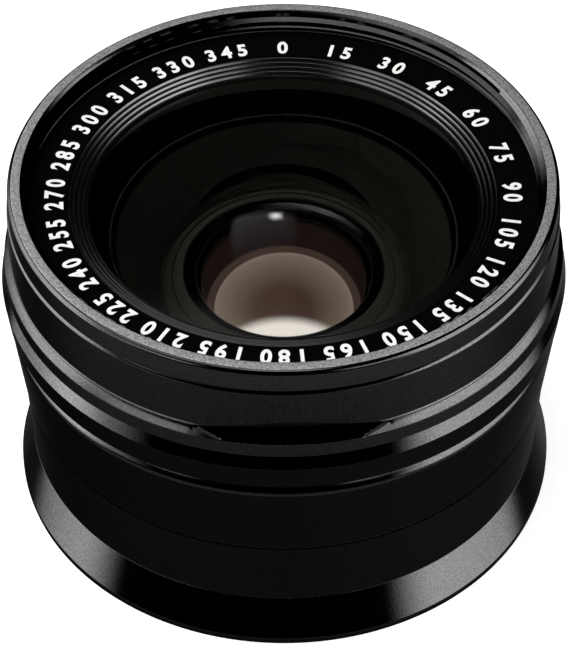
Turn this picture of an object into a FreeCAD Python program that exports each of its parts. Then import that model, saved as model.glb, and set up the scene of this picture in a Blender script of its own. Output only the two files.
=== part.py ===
import FreeCAD, Part
import math
import os

# Wide-angle conversion lens. Millimetres, +Z along the optical axis towards the
# subject, origin at the centre of the rear flange's bottom face.
# The front, where the trim ring is open, is at -Y.

V = FreeCAD.Vector

# General clearances
slip = 0.02                    # between turned parts that slide or screw together
glass_slip = 0.02              # round the edge of each lens
lift = 0.01                    # between a glass surface and the ring that holds it
past = 1.00                    # how far a cutter runs past the face that it cuts

# Screw threads that other things mate with, M49 x 0.75, modelled at their crest
thread_major_r = 24.50
thread_pitch = 0.75
thread_crest_r = thread_major_r - 0.5413 * thread_pitch
mouth_chamfer = 0.68           # leads a mating thread in

# Mount ring: the flared foot that screws to the camera
flange_wall = 2.50             # outside the thread's major radius
flange_edge = 0.70             # height of the flange's upright edge
flare_height = 4.50
socket_depth = 3.70            # flange face to the web inside
mount_web_step = 1.60          # web's inner edge outside the rear barrel's floor

# Rear barrel: the lower half of the waist
rear_barrel_height = 7.40
rear_barrel_taper = 0.27       # narrower at the mount ring than at the waist
rear_web = 3.50                # thickness of its floor
rear_web_room = 0.70           # hole in the floor round the lens cell

# Gasket that shows as the black line round the waist
gasket = 0.35
gasket_inset = 0.22

# Main barrel: outline from the waist up
band_wall = 2.80               # at the widest edge, outside the thread's major radius
waist_step = 0.05              # main barrel outside the rear barrel at the waist
long_cone_taper = 0.84         # waist to shoulder
shoulder_inset = 0.48          # shoulder inside the widest edge
shoulder_height = 8.15         # waist line to the shoulder's edge
round_height = 1.15            # rounded top of the shoulder
round_inset = 0.30
round_bulge = 0.066            # inset at the middle of the round
groove_height = 0.35
groove_slope = 0.14            # height of each sloped side of the groove
groove_depth = 0.45
band_taper = 0.28
band_height = 2.64
bright_cone_height = 1.38
bright_cone_inset = 0.38
lip_wall = 0.40                # thin outer wall of the trough, at its foot
lip_height = 1.44              # the wall rises above the bright cone
lip_taper = 0.06
trough_depth = 1.13
trough_width = 1.22
collar_wall = 1.28             # wall between the trough and the front barrel
tail_proud = 0.28              # tail's radius past the front barrel's spigot
tail_wall = 2.70               # tail that the rear barrel slides over
cell_web = 3.05                # web that carries the lens cell
baffle_ledge = 1.02            # ledge that the baffle's flange lies on

# Open trim ring: a C-shaped ring in the trough
trim_proud = 2.32              # its top above the bright cone
trim_top_inset = 0.47          # these two are inside the bright cone's edge
trim_edge_inset = 0.08
trim_gap = 0.04
trim_open_half = 13.7          # half of the open angle, degrees
trim_full_half = 18.9          # half angle where the ring is at full height
trim_ramp_foot = 0.10          # height of the ramp's foot above the wall
trim_turn = 1.4                # middle of the gap, degrees from the front

# Front barrel: the smooth upper band and the front lens's seat inside it
strip_height = 0.22            # fine bevel at its lower edge
strip_width = 0.09
front_band_taper = 0.15
rim_seam_step = 0.10           # band outside the rim ring at the seam
front_band_height = 4.98
scoop_height = 2.26            # shallow scoop over the trim ring's gap
scoop_depth = 0.50
seam_chamfer = 0.14            # V seam under the rim ring
foot_chamfer = 0.10            # over the trim ring, so that the seam shows dark
rim_spigot_length = 2.65
rim_spigot_wall = 0.80
front_spigot_length = 6.55     # goes down into the main barrel
lens_tube_gap = 0.50           # lens tube to the rim ring's spigot
lens_land = 1.10               # thickness of the shoulder under the front lens
lens_land_overhang = 3.40      # how far the shoulder reaches under the lens
relief_step = 1.00             # bore below the shoulder, outside the lens's edge
lock_groove_height = 1.80
lock_groove_depth = 0.60

# Rim ring with the filter thread
rim_height = 2.45              # seam to the top
rim_wall = 1.50                # at the top, outside the thread's major radius
rim_taper = 0.12
rim_round = 0.45
rim_step = 0.30                # step that traps the name ring

# Name ring, a thin black plate under the filter thread
name_ring_thickness = 0.80
name_ring_gap = 0.45           # its hole outside the lens's edge

# Front retaining ring, stepped so that it throws no glare
keeper_overlap = 1.41          # reach over the lens's edge
keeper_wall_low = 0.53         # thickness at its inner lip
keeper_steps = 4
keeper_drop = 0.86             # outer edge to inner edge
keeper_flat = 0.35             # flat share of each step's width
keeper_slope = 0.60            # share where its slope ends
keeper_dip = 1.20              # depth of the slope in steps, so a small ridge follows
keeper_slip = 0.08             # round its rim, inside the name ring

# Front lens, a negative meniscus
front_lens_inset = 4.50        # edge inside the thread's major radius
front_lens_curve = 125.0
front_lens_back_land = 4.10    # flat ring round its hollow back
front_lens_back_depth = 7.8678 # of the hollow, edge to vertex
front_lens_centre = 2.20
front_lens_depth = 2.50        # vertex below the rim's top

# Seal round the front lens
seal = 0.80
seal_height_above_land = 2.00
seal_corner = 0.20

# Light baffle, a stepped cone behind the front lens
baffle_flange = 0.80
baffle_wall = 0.90
baffle_mouth_inset = 0.20      # mouth inside the lens's shoulder
baffle_foot_room = 0.10        # foot outside the pair's edge
baffle_length = 1.90
baffle_steps = 3

# Lens cell, stepped tube that holds the middle and rear lenses
cell_wall = 2.30               # at the rear lens's ring
cell_slip = 0.10
cell_flange_inset = 0.10
cell_flange = 1.80
cell_neck_wall = 2.30
cell_neck = 2.20               # length above the flange
shim = 0.20
shim_inset = 0.25

# Cemented pair in the cell
pair_inset = 1.00              # edge inside the rear lens's
pair_front_curve = 60.0
pair_joint_curve = 45.0
pair_back_curve = 200.0
pair_front_edge = 1.89         # thickness at its edge
pair_back_centre = 1.50
pair_vertex_below_neck = 1.10
pair_lip = 1.10                # how far the cell's lip reaches under the pair
pair_ring_wall = 1.45
pair_ring_thread = 0.65
pair_ring_top = 0.90           # ring's top below the cell's

# Rear lens
rear_lens_inset = 10.00        # edge inside the thread's major radius
rear_lens_curve = 90.0
rear_lens_back_curve = 600.0
rear_lens_centre = 3.40
air_gap = 1.30                 # pair to rear lens, at the axis
rear_ring_wall = 1.80
rear_ring_thread = 0.70
rear_ring_height = 1.10
rear_ring_inset = 0.30         # ring's foot above the cell's

# Lock ring over the cell's flange
lock_ring_height = 2.00
lock_ring_room = 1.60          # round the cell's neck

# Spanner slots in the inner rings
slot_width = 1.60
slot_depth = 0.70
ring_bevel = 0.80              # glare bevel inside the slotted rings

# Rear light shield, closes the gap between the cell and the mount ring
shield_height = 1.20
shield_gap = 0.15              # round the lens cell
shield_slip = 0.05
shield_edge = 0.25             # thickness at its inner edge

# Screws
grub_r = 0.80
grub_count = 3
grub_first_angle = 90.0
grub_height = 1.75             # below the main barrel's collar
grub_recess = 0.10             # outer end inside the trough's wall
barrel_screw_r = 0.80
barrel_screw_head_r = 1.50
barrel_screw_head = 1.20
barrel_screw_bite = 2.60       # length in the main barrel's tail
barrel_screw_count = 3
barrel_screw_first_angle = 90.0
mount_screw_r = 0.80
mount_screw_head_r = 1.60
mount_screw_head = 0.90
mount_screw_bite = 2.40        # length in the rear barrel's floor
mount_screw_count = 4
mount_screw_first_angle = 45.0
driver_r = 0.45                # hexagon in a grub screw, across its corners
driver_depth = 0.50
cross_width = 0.35             # cross in a screw's head
cross_length = 1.70
cross_share = 0.60             # depth as a share of the head's
tip_room = 0.15                # past the end of a screw in its hole
runout = 0.10                  # past the end of a threaded spigot or ring in its bore

# Heights of the outside, from the flange's face up
mount_top = flange_edge + flare_height
rear_top = mount_top + rear_barrel_height
main_foot = rear_top + gasket
shoulder_z = main_foot + shoulder_height
round_top = shoulder_z + round_height
band_foot = round_top + groove_height
widest_z = band_foot + band_height
lip_z = widest_z + bright_cone_height
collar_top = lip_z + trim_proud
band_low = collar_top + strip_height
front_top = band_low + front_band_height
rim_top = front_top + rim_height

# Radii of the outside, from the thread outwards
rim_r = thread_major_r + rim_wall
rim_foot_r = rim_r + rim_taper
band_top_r = rim_foot_r + rim_seam_step
band_low_r = band_top_r + front_band_taper
strip_foot_r = band_low_r + strip_width
widest_r = thread_major_r + band_wall
lip_r = widest_r - bright_cone_inset
trim_edge_r = lip_r - trim_edge_inset
trim_top_r = lip_r - trim_top_inset
band_foot_r = widest_r - band_taper
shoulder_r = widest_r - shoulder_inset
waist_top_r = shoulder_r - long_cone_taper
rear_barrel_top_r = waist_top_r - waist_step
waist_r = rear_barrel_top_r - rear_barrel_taper
flange_r = thread_major_r + flange_wall

# Radii that pieces share
front_lens_r = thread_major_r - front_lens_inset
rear_lens_r = thread_major_r - rear_lens_inset
pair_r = rear_lens_r - pair_inset
cell_r = rear_lens_r + rear_ring_thread + cell_wall
rear_web_r = cell_r + rear_web_room
mount_web_r = rear_web_r + mount_web_step
mount_screw_circle_r = (mount_web_r + thread_crest_r) / 2
trough_out_r = lip_r - lip_wall
spigot_r = trough_out_r - trough_width - collar_wall - slip
collar_in_r = spigot_r + slip
trough_in_r = collar_in_r + collar_wall
cell_chamber_r = collar_in_r - baffle_ledge
tail_r = spigot_r + tail_proud
tail_in_r = tail_r - tail_wall
rim_spigot_in_r = thread_crest_r + rim_step
rim_spigot_r = rim_spigot_in_r + rim_spigot_wall
name_ring_r = rim_spigot_in_r - slip
name_ring_hole_r = front_lens_r + name_ring_gap
keeper_r = name_ring_hole_r - keeper_slip
keeper_hole_r = front_lens_r - keeper_overlap
front_lens_back_r = front_lens_r - front_lens_back_land
front_lens_back_curve = (
    (front_lens_back_r ** 2 + front_lens_back_depth ** 2) / (2 * front_lens_back_depth))
lens_land_r = front_lens_r - lens_land_overhang
baffle_mouth_r = lens_land_r - baffle_mouth_inset
baffle_foot_r = pair_r + baffle_foot_room
lens_tube_r = rim_spigot_in_r - lens_tube_gap
lens_bore_r = front_lens_r + glass_slip


def sag(curve, r):
    """Depth of a sphere of radius curve at distance r from its axis."""
    return curve - math.sqrt(curve * curve - r * r)


# Heights of the inside
front_vertex = rim_top - front_lens_depth
lens_seat = front_vertex - front_lens_centre - front_lens_back_depth
keeper_foot = front_vertex - sag(front_lens_curve, keeper_hole_r) + lift
name_ring_foot = front_top - name_ring_thickness
trough_floor = lip_z - trough_depth
wall_top = lip_z + lip_height
spigot_foot = collar_top - front_spigot_length
baffle_foot = spigot_foot - baffle_flange
web_foot = main_foot
web_top = web_foot + cell_web
flange_foot = web_top + shim
flange_top = flange_foot + cell_flange
cell_top = flange_top + cell_neck
pair_vertex = cell_top - pair_vertex_below_neck
joint_edge = pair_vertex - sag(pair_front_curve, pair_r) - pair_front_edge
joint_vertex = joint_edge - sag(pair_joint_curve, pair_r)
pair_back_vertex = joint_vertex - pair_back_centre
rear_vertex = pair_back_vertex - air_gap
rear_back_vertex = rear_vertex - rear_lens_centre
rear_ring_r = rear_lens_r + rear_ring_thread - slip
rear_ring_in_r = rear_ring_r - rear_ring_wall
rear_ring_top = rear_back_vertex + sag(rear_lens_back_curve, rear_ring_in_r) - lift
rear_ring_foot = rear_ring_top - rear_ring_height
cell_foot = rear_ring_foot - rear_ring_inset
pair_ring_r = pair_r + pair_ring_thread - slip
pair_ring_in_r = pair_ring_r - pair_ring_wall
pair_ring_foot = pair_vertex - sag(pair_front_curve, pair_ring_in_r) + lift
cell_neck_r = pair_r + cell_neck_wall
cell_flange_r = cell_chamber_r - cell_flange_inset
tail_foot = mount_top + rear_web


def outline(start, *steps):
    """Closed wire in the r-z plane. A step is a point, or a pair of points for
    an arc: one that it passes through and the one where it ends."""
    here = V(start[0], 0, start[1])
    first = here
    edges = []
    for step in steps:
        if isinstance(step[0], tuple):
            through = V(step[0][0], 0, step[0][1])
            end = V(step[1][0], 0, step[1][1])
            edges.append(Part.Arc(here, through, end).toShape())
        else:
            end = V(step[0], 0, step[1])
            edges.append(Part.LineSegment(here, end).toShape())
        here = end
    if here.distanceToPoint(first) > 1e-7:
        edges.append(Part.LineSegment(here, first).toShape())
    return Part.Wire(edges)


def turned(start, *steps):
    """Solid turned about the optical axis from its outline."""
    return Part.Face(outline(start, *steps)).revolve(V(0, 0, 0), V(0, 0, 1), 360)


def glass(r, front_z, front_curve, back_z, back_curve, back_r=None):
    """Lens with a curved front and back, each curve given by the sign of its
    sag: positive falls away from the vertex towards the edge. back_r leaves a
    flat ring round a hollow back."""
    front_edge = front_z - math.copysign(sag(abs(front_curve), r), front_curve)
    front_half = front_z - math.copysign(sag(abs(front_curve), r / 2), front_curve)
    inner = back_r or r
    back_edge = back_z - math.copysign(sag(abs(back_curve), inner), back_curve)
    back_half = back_z - math.copysign(sag(abs(back_curve), inner / 2), back_curve)
    steps = [(0, front_z), ((r / 2, front_half), (r, front_edge)), (r, back_edge)]
    if back_r:
        steps.append((back_r, back_edge))
    steps.append(((inner / 2, back_half), (0, back_z)))
    return turned((0, back_z), *steps)


def around(shape, count, first_angle):
    """The same solid repeated about the optical axis."""
    copies = []
    for k in range(count):
        copy = shape.copy()
        copy.rotate(V(0, 0, 0), V(0, 0, 1), first_angle + 360.0 * k / count)
        copies.append(copy)
    return copies


def spanner_slots(inner_r, outer_r, face_z, cut_up):
    """Two opposite slots for a pin spanner, cut into a ring's face."""
    length = 2 * (outer_r + past)
    low = face_z - past if cut_up else face_z - slot_depth
    bar = Part.makeBox(length, slot_width, slot_depth + past, V(-length / 2, -slot_width / 2, low))
    core = Part.makeCylinder(inner_r - past, slot_depth + 3 * past, V(0, 0, low - past))
    return bar.cut(core)


def make_mount_ring():
    web_z = socket_depth
    ring = turned(
        (flange_r, 0), (flange_r, flange_edge), (waist_r, mount_top),
        (mount_web_r, mount_top), (mount_web_r, web_z), (thread_crest_r, web_z),
        (thread_crest_r, mouth_chamfer), (thread_crest_r + mouth_chamfer, 0))
    for hole in around(mount_screw_hole(), mount_screw_count, mount_screw_first_angle):
        ring = ring.cut(hole)
    return ring


def mount_screw_hole():
    """Countersunk hole through the web and into the rear barrel's floor."""
    web_z = socket_depth
    depth = mount_top - web_z + mount_screw_bite + tip_room
    shank = Part.makeCylinder(mount_screw_r + slip, depth + past,
                              V(mount_screw_circle_r, 0, web_z - past))
    sink = Part.makeCone(mount_screw_head_r + slip, mount_screw_r + slip, mount_screw_head,
                         V(mount_screw_circle_r, 0, web_z))
    return shank.fuse(sink)


def make_mount_screws():
    web_z = socket_depth
    length = mount_top - web_z + mount_screw_bite
    screw = Part.makeCylinder(mount_screw_r, length, V(mount_screw_circle_r, 0, web_z))
    head = Part.makeCone(mount_screw_head_r, mount_screw_r, mount_screw_head,
                         V(mount_screw_circle_r, 0, web_z))
    screw = screw.fuse(head).removeSplitter()
    screw = cut_cross(screw, mount_screw_circle_r, web_z, mount_screw_head * cross_share)
    return Part.makeCompound(around(screw, mount_screw_count, mount_screw_first_angle))


def cut_cross(screw, circle_r, face_z, depth):
    """Cross recess in the end of a screw that points down."""
    for length, width in ((cross_length, cross_width), (cross_width, cross_length)):
        corner = V(circle_r - length / 2, -width / 2, face_z - past)
        screw = screw.cut(Part.makeBox(length, width, depth + past, corner))
    return screw


def make_rear_barrel():
    barrel = turned(
        (waist_r, mount_top), (rear_barrel_top_r, rear_top), (tail_r + slip, rear_top),
        (tail_r + slip, tail_foot), (rear_web_r, tail_foot), (rear_web_r, mount_top))
    for hole in around(barrel_screw_hole(), barrel_screw_count, barrel_screw_first_angle):
        barrel = barrel.cut(hole)
    for hole in around(mount_screw_hole(), mount_screw_count, mount_screw_first_angle):
        barrel = barrel.cut(hole)
    return barrel


def barrel_screw_circle():
    return (tail_r + tail_in_r) / 2


def barrel_screw_hole():
    """Counterbored hole from the rear barrel's floor up into the tail."""
    circle_r = barrel_screw_circle()
    shank_length = rear_web + barrel_screw_bite + tip_room
    shank = Part.makeCylinder(barrel_screw_r + slip, shank_length, V(circle_r, 0, mount_top))
    counterbore = Part.makeCylinder(barrel_screw_head_r + slip, barrel_screw_head + slip,
                                    V(circle_r, 0, mount_top))
    return shank.fuse(counterbore)


def make_barrel_screws():
    circle_r = barrel_screw_circle()
    head = Part.makeCylinder(barrel_screw_head_r, barrel_screw_head, V(circle_r, 0, mount_top + slip))
    shank = Part.makeCylinder(barrel_screw_r, rear_web + barrel_screw_bite - slip,
                              V(circle_r, 0, mount_top + slip))
    screw = head.fuse(shank).removeSplitter()
    screw = cut_cross(screw, circle_r, mount_top + slip, barrel_screw_head * cross_share)
    return Part.makeCompound(around(screw, barrel_screw_count, barrel_screw_first_angle))


def make_rear_light_shield():
    foot = mount_top - shield_height
    outer = mount_web_r - shield_slip
    lip_r = cell_r + shield_gap
    return turned(
        (lip_r, foot), (outer, foot), (outer, mount_top), (rear_web_r, mount_top),
        (rear_web_r, mount_top - shield_height / 2), (lip_r, foot + shield_edge))


def make_waist_gasket():
    return turned(
        (tail_r + slip, rear_top), (waist_top_r - gasket_inset, rear_top),
        (waist_top_r - gasket_inset, main_foot), (tail_r + slip, main_foot))


def make_main_barrel():
    groove_r = shoulder_r - round_inset - groove_depth
    round_mid = (shoulder_r - round_bulge, shoulder_z + round_height / 2)
    barrel = turned(
        (waist_top_r, main_foot), (shoulder_r, shoulder_z),
        (round_mid, (shoulder_r - round_inset, round_top)),
        (groove_r, round_top + groove_slope), (groove_r, band_foot - groove_slope),
        (band_foot_r, band_foot), (widest_r, widest_z), (lip_r, lip_z),
        (lip_r - lip_taper, wall_top), (trough_out_r, wall_top),
        (trough_out_r, trough_floor), (trough_in_r, trough_floor),
        (trough_in_r, collar_top), (collar_in_r, collar_top), (collar_in_r, baffle_foot),
        (cell_chamber_r, baffle_foot), (cell_chamber_r, web_top), (cell_r + cell_slip, web_top),
        (cell_r + cell_slip, web_foot), (tail_in_r, web_foot), (tail_in_r, tail_foot),
        (tail_r, tail_foot), (tail_r, main_foot))
    for hole in around(grub_hole(), grub_count, grub_first_angle):
        barrel = barrel.cut(hole)
    for hole in around(barrel_screw_hole(), barrel_screw_count, barrel_screw_first_angle):
        barrel = barrel.cut(hole)
    return barrel


def grub_hole():
    start = V(collar_in_r - past, 0, collar_top - grub_height)
    return Part.makeCylinder(grub_r + slip, collar_wall + 1.5 * past, start, V(1, 0, 0))


def make_grub_screws():
    """Grub screws under the trim ring that lock the front barrel."""
    inner = spigot_r - lock_groove_depth
    length = trough_in_r - inner - grub_recess
    middle_z = collar_top - grub_height
    screw = Part.makeCylinder(grub_r, length, V(inner, 0, middle_z), V(1, 0, 0))
    corners = []
    for k in range(7):
        angle = math.radians(60 * k)
        corners.append(V(inner + length - driver_depth, driver_r * math.cos(angle),
                         middle_z + driver_r * math.sin(angle)))
    socket = Part.Face(Part.makePolygon(corners)).extrude(V(driver_depth + past, 0, 0))
    screw = screw.cut(socket)
    return Part.makeCompound(around(screw, grub_count, grub_first_angle))


def make_open_trim_ring():
    inner = trough_in_r + trim_gap
    outer = trough_out_r - trim_gap
    foot = trough_floor
    above_wall = wall_top + trim_gap
    ring = turned(
        (inner, foot), (outer, foot), (outer, above_wall), (trim_edge_r, above_wall),
        (trim_top_r, collar_top - slip), (inner, collar_top - slip))
    open_x = trim_edge_r * math.sin(math.radians(trim_open_half))
    full_x = trim_edge_r * math.sin(math.radians(trim_full_half))
    ramp_z = wall_top + trim_ramp_foot
    notch = Part.Face(Part.makePolygon([
        V(-open_x, 0, foot - past), V(-open_x, 0, ramp_z), V(-full_x, 0, collar_top),
        V(-full_x, 0, collar_top + past), V(full_x, 0, collar_top + past),
        V(full_x, 0, collar_top), V(open_x, 0, ramp_z), V(open_x, 0, foot - past),
        V(-open_x, 0, foot - past)]))
    ring = ring.cut(notch.extrude(V(0, -trim_edge_r - past, 0)))
    ring.rotate(V(0, 0, 0), V(0, 0, 1), trim_turn)
    return ring


def front_scoop():
    """Cutter for the scoop, turned about an axis behind the optical one. The two
    circles cross where the trim ring is at full height."""
    flatness = band_low_r * (1 - math.cos(math.radians(trim_full_half)))
    behind = scoop_depth * (band_low_r - scoop_depth / 2) / (flatness - scoop_depth)
    top_r = band_low_r + behind
    middle = (top_r - scoop_depth / 4, collar_top + scoop_height / 2)
    foot_r = top_r - scoop_depth
    scoop = turned(
        (top_r, collar_top + scoop_height), (middle, (foot_r, collar_top)),
        (foot_r, collar_top - past), (top_r + 3 * past, collar_top - past),
        (top_r + 3 * past, collar_top + scoop_height))
    scoop.translate(V(0, behind, 0))
    scoop.rotate(V(0, 0, 0), V(0, 0, 1), trim_turn)
    return scoop


def make_front_barrel():
    tube_top = name_ring_foot
    keeper_bore_foot = keeper_foot - runout
    socket_foot = front_top - rim_spigot_length - runout
    relief_top = lens_seat - lens_land
    relief_r = front_lens_r + relief_step
    groove_mid = collar_top - grub_height
    groove_low = groove_mid - lock_groove_height / 2
    groove_high = groove_mid + lock_groove_height / 2
    groove_r = spigot_r - lock_groove_depth
    seal_low = lens_seat + seal_height_above_land - slip
    seal_high = seal_low + seal + 2 * slip
    seal_groove_r = lens_bore_r + seal
    barrel = turned(
        (strip_foot_r - foot_chamfer, collar_top), (strip_foot_r, collar_top + foot_chamfer),
        (band_low_r, band_low),
        (band_top_r, front_top - seam_chamfer), (band_top_r - seam_chamfer, front_top),
        (rim_spigot_r + slip, front_top), (rim_spigot_r + slip, socket_foot),
        (lens_tube_r, socket_foot), (lens_tube_r, tube_top), (keeper_r + slip, tube_top),
        (keeper_r + slip, keeper_bore_foot), (lens_bore_r, keeper_bore_foot),
        (lens_bore_r, seal_high), (seal_groove_r, seal_high), (seal_groove_r, seal_low),
        (lens_bore_r, seal_low), (lens_bore_r, lens_seat),
        (lens_land_r, lens_seat), (lens_land_r, relief_top), (relief_r, relief_top),
        (relief_r, spigot_foot), (spigot_r, spigot_foot), (spigot_r, groove_low),
        (groove_r, groove_low), (groove_r, groove_high), (spigot_r, groove_high),
        (spigot_r, collar_top))
    return barrel.cut(front_scoop())


def make_front_rim_ring():
    mouth_r = thread_crest_r + mouth_chamfer
    round_centre_r = rim_r - rim_round
    half = rim_round * math.sqrt(0.5)
    round_mid = (round_centre_r + half, rim_top - rim_round + half)
    spigot_end = front_top - rim_spigot_length
    return turned(
        (thread_crest_r, front_top), (thread_crest_r, rim_top - mouth_chamfer),
        (mouth_r, rim_top), (round_centre_r, rim_top),
        (round_mid, (rim_r, rim_top - rim_round)), (rim_foot_r, front_top + seam_chamfer),
        (rim_foot_r - seam_chamfer, front_top), (rim_spigot_r, front_top),
        (rim_spigot_r, spigot_end), (rim_spigot_in_r, spigot_end),
        (rim_spigot_in_r, front_top))


def make_name_ring():
    return turned(
        (name_ring_hole_r, name_ring_foot), (name_ring_r, name_ring_foot),
        (name_ring_r, front_top), (name_ring_hole_r, front_top))


def make_front_retaining_ring():
    lip_top = keeper_foot + keeper_wall_low
    step_r = (keeper_r - keeper_hole_r) / keeper_steps
    step_z = keeper_drop / keeper_steps
    stairs = []
    for k in range(keeper_steps):
        r = keeper_r - k * step_r
        z = lip_top + keeper_drop - k * step_z
        stairs.append((r, z))
        stairs.append((r - step_r * keeper_flat, z))
        stairs.append((r - step_r * keeper_slope, z - step_z * keeper_dip))
    stairs.append((keeper_hole_r, lip_top))
    return turned((keeper_hole_r, keeper_foot), (keeper_r, keeper_foot), *stairs)


def make_front_lens():
    return glass(front_lens_r, front_vertex, front_lens_curve,
                 front_vertex - front_lens_centre, front_lens_back_curve, front_lens_back_r)


def make_front_lens_seal():
    low = lens_seat + seal_height_above_land
    high = low + seal
    inner = front_lens_r
    outer = front_lens_r + seal
    return turned(
        (inner, low + seal_corner), (inner + seal_corner, low), (outer - seal_corner, low),
        (outer, low + seal_corner), (outer, high - seal_corner), (outer - seal_corner, high),
        (inner + seal_corner, high), (inner, high - seal_corner))


def make_light_baffle():
    top = spigot_foot
    foot = top - baffle_length
    step_r = (baffle_mouth_r - baffle_foot_r) / (baffle_steps - 1)
    step_z = baffle_length / baffle_steps
    stairs = [(baffle_mouth_r, top - step_z)]
    for k in range(1, baffle_steps):
        r = baffle_mouth_r - k * step_r
        stairs.append((r, top - k * step_z))
        stairs.append((r, top - (k + 1) * step_z))
    return turned(
        (baffle_mouth_r, top), *stairs, (baffle_foot_r + baffle_wall, foot),
        (baffle_mouth_r + baffle_wall, baffle_foot), (collar_in_r - slip, baffle_foot),
        (collar_in_r - slip, top))


def make_lens_cell():
    ring_bore_r = pair_r + pair_ring_thread
    pair_bore_r = pair_r + glass_slip
    pair_ledge = pair_ring_foot - runout
    lip_hole_r = pair_r - pair_lip
    lip_top = pair_back_vertex + sag(pair_back_curve, lip_hole_r) - lift
    lip_foot = rear_vertex - sag(rear_lens_curve, lip_hole_r) + lift
    rear_bore_r = rear_lens_r + glass_slip
    rear_ledge = rear_ring_top + runout
    rear_ring_bore_r = rear_lens_r + rear_ring_thread
    return turned(
        (cell_r, cell_foot), (cell_r, flange_foot), (cell_flange_r, flange_foot),
        (cell_flange_r, flange_top), (cell_neck_r, flange_top), (cell_neck_r, cell_top),
        (ring_bore_r, cell_top), (ring_bore_r, pair_ledge), (pair_bore_r, pair_ledge),
        (pair_bore_r, lip_top), (lip_hole_r, lip_top), (lip_hole_r, lip_foot),
        (rear_bore_r, lip_foot), (rear_bore_r, rear_ledge), (rear_ring_bore_r, rear_ledge),
        (rear_ring_bore_r, cell_foot))


def make_cell_shim():
    inner = cell_r + cell_slip + shim_inset
    outer = cell_flange_r - shim_inset
    return turned((inner, web_top), (outer, web_top), (outer, flange_foot), (inner, flange_foot))


def make_cell_lock_ring():
    outer = cell_chamber_r - slip
    inner = cell_neck_r + lock_ring_room
    top = flange_top + lock_ring_height
    ring = turned((inner, flange_top), (outer, flange_top), (outer, top), (inner, top))
    return ring.cut(spanner_slots(inner, outer, top, False))


def make_pair_front_lens():
    return glass(pair_r, pair_vertex, pair_front_curve, joint_vertex, -pair_joint_curve)


def make_pair_rear_lens():
    return glass(pair_r, joint_vertex, -pair_joint_curve, pair_back_vertex, -pair_back_curve)


def make_pair_retaining_ring():
    foot = pair_ring_foot
    top = cell_top - pair_ring_top
    ring = turned(
        (pair_ring_in_r, foot), (pair_ring_r, foot), (pair_ring_r, top),
        (pair_ring_in_r + ring_bevel, top), (pair_ring_in_r, (foot + top) / 2))
    return ring.cut(spanner_slots(pair_ring_in_r, pair_ring_r, top, False))


def make_rear_lens():
    return glass(rear_lens_r, rear_vertex, rear_lens_curve, rear_back_vertex, -rear_lens_back_curve)


def make_rear_retaining_ring():
    foot = rear_ring_foot
    top = rear_ring_top
    ring = turned(
        (rear_ring_in_r, top), (rear_ring_r, top), (rear_ring_r, foot),
        (rear_ring_in_r + ring_bevel, foot), (rear_ring_in_r, (foot + top) / 2))
    return ring.cut(spanner_slots(rear_ring_in_r, rear_ring_r, foot, True))


pieces = {
    "front_rim_ring": make_front_rim_ring,
    "name_ring": make_name_ring,
    "front_retaining_ring": make_front_retaining_ring,
    "front_lens": make_front_lens,
    "front_lens_seal": make_front_lens_seal,
    "front_barrel": make_front_barrel,
    "front_grub_screws": make_grub_screws,
    "open_trim_ring": make_open_trim_ring,
    "main_barrel": make_main_barrel,
    "light_baffle": make_light_baffle,
    "cell_lock_ring": make_cell_lock_ring,
    "cell_shim": make_cell_shim,
    "lens_cell": make_lens_cell,
    "pair_retaining_ring": make_pair_retaining_ring,
    "pair_front_lens": make_pair_front_lens,
    "pair_rear_lens": make_pair_rear_lens,
    "rear_lens": make_rear_lens,
    "rear_retaining_ring": make_rear_retaining_ring,
    "waist_gasket": make_waist_gasket,
    "rear_barrel": make_rear_barrel,
    "barrel_screws": make_barrel_screws,
    "mount_ring": make_mount_ring,
    "mount_screws": make_mount_screws,
    "rear_light_shield": make_rear_light_shield,
}

os.makedirs("parts", exist_ok=True)
for node, make in pieces.items():
    shape = make()
    shape.exportStep(os.path.join("parts", node + ".step"))
    print(node, len(shape.Solids), "solid(s)", round(shape.Volume, 1), "mm3", shape.isValid())
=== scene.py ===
import bpy
import bmesh
import math
from mathutils import Matrix, Vector


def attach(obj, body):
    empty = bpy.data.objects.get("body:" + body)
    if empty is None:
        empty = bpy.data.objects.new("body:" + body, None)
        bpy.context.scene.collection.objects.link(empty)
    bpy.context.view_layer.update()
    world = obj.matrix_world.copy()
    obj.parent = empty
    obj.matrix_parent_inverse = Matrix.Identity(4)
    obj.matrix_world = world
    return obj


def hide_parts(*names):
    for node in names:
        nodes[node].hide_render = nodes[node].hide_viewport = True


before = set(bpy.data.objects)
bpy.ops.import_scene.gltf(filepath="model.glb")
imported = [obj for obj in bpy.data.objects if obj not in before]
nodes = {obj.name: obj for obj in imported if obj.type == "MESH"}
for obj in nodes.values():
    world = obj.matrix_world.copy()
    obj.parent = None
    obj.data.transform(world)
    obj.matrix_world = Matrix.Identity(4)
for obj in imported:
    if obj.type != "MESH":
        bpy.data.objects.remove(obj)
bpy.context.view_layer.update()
mm = 0.001
weld = 0.0005 * mm       # vertices closer than this are one
print("frame loaded:", len(nodes), "nodes")


# Camera, fitted to the rim's circles and the side outlines

cameraSet = {
    "place": (0.0, -0.19494, 0.21086),
    "lookDown": 44.870,      # degrees below level
    "pan": -0.0121,
    "roll": -0.3153,
    "focal": 154.49,
}


def makeCamera(s):
    data = bpy.data.cameras.new("camera")
    data.sensor_width = 36.0
    data.lens = s["focal"]
    data.clip_start = 0.01
    data.clip_end = 20.0
    camera = bpy.data.objects.new("camera", data)
    turn = Matrix.Rotation(math.radians(s["pan"]), 4, "Z")
    tilt = Matrix.Rotation(math.radians(90.0 - s["lookDown"]), 4, "X")
    roll = Matrix.Rotation(math.radians(s["roll"]), 4, "Z")
    camera.matrix_world = Matrix.Translation(s["place"]) @ turn @ tilt @ roll
    bpy.context.scene.collection.objects.link(camera)
    bpy.context.scene.camera = camera


makeCamera(cameraSet)
print("camera placed")


# Materials

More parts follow.
